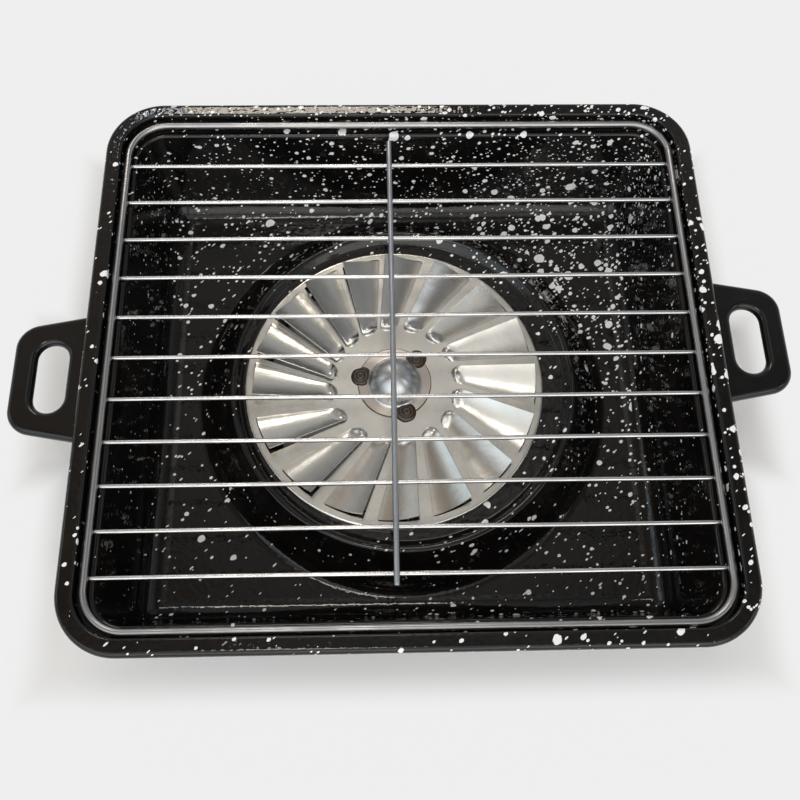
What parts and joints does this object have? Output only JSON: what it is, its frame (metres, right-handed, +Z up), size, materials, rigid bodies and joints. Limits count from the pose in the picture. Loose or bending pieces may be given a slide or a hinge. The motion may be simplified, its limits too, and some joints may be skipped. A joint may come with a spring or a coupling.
{
  "type": "stovetop kebab grill",
  "caption": "Speckled enamel stovetop grill pan with a burner collar, two slotted side handles, a lift-off wire rack and a loose louvred diffuser with a domed hub.",
  "frame": {"origin": "centre of the pan's underside, on the surface that it stands on", "axes": "+Z up, +X towards the right handle, -Y towards the front edge"},
  "size_m": [0.395, 0.296, 0.07],
  "materials": {
    "pan_enamel": "gloss black vitreous enamel with white speckles",
    "handle_enamel": "plain gloss black vitreous enamel",
    "rack_chrome": "bright plated wire",
    "rod_chrome": "duller plated wire",
    "disc_steel": "bright rolled sheet",
    "dome_steel": "polished",
    "weld_oxide": "heat-tinted, dull"
  },
  "bodies": {
    "pan": {"pan": "pan_enamel", "handle_left": "handle_enamel", "handle_right": "handle_enamel", "handle_spot_welds": "handle_enamel"},
    "rack": {"rack_frame": "rack_chrome", "cross_wire_01": "rack_chrome", "cross_wire_02": "rack_chrome", "cross_wire_03": "rack_chrome", "cross_wire_04": "rack_chrome", "cross_wire_05": "rack_chrome", "cross_wire_06": "rack_chrome", "cross_wire_07": "rack_chrome", "cross_wire_08": "rack_chrome", "cross_wire_09": "rack_chrome", "cross_wire_10": "rack_chrome", "cross_wire_11": "rack_chrome", "centre_rod": "rod_chrome"},
    "diffuser": {"diffuser_disc": "disc_steel", "dome_cap": "dome_steel", "hub_tack_welds": "weld_oxide"}
  },
  "joints": [
    {"name": "rack_lift", "type": "slide", "parent": "pan", "child": "rack", "axis": [0, 0, 1], "range_m": [0, 0.1]},
    {"name": "diffuser_lift", "type": "slide", "parent": "pan", "child": "diffuser", "axis": [0, 0, 1], "range_m": [0, 0.06]}
  ],
  "couplings": [
    {"joint": "diffuser_lift", "follows": "rack_lift", "ratio": 0.6}
  ]
}
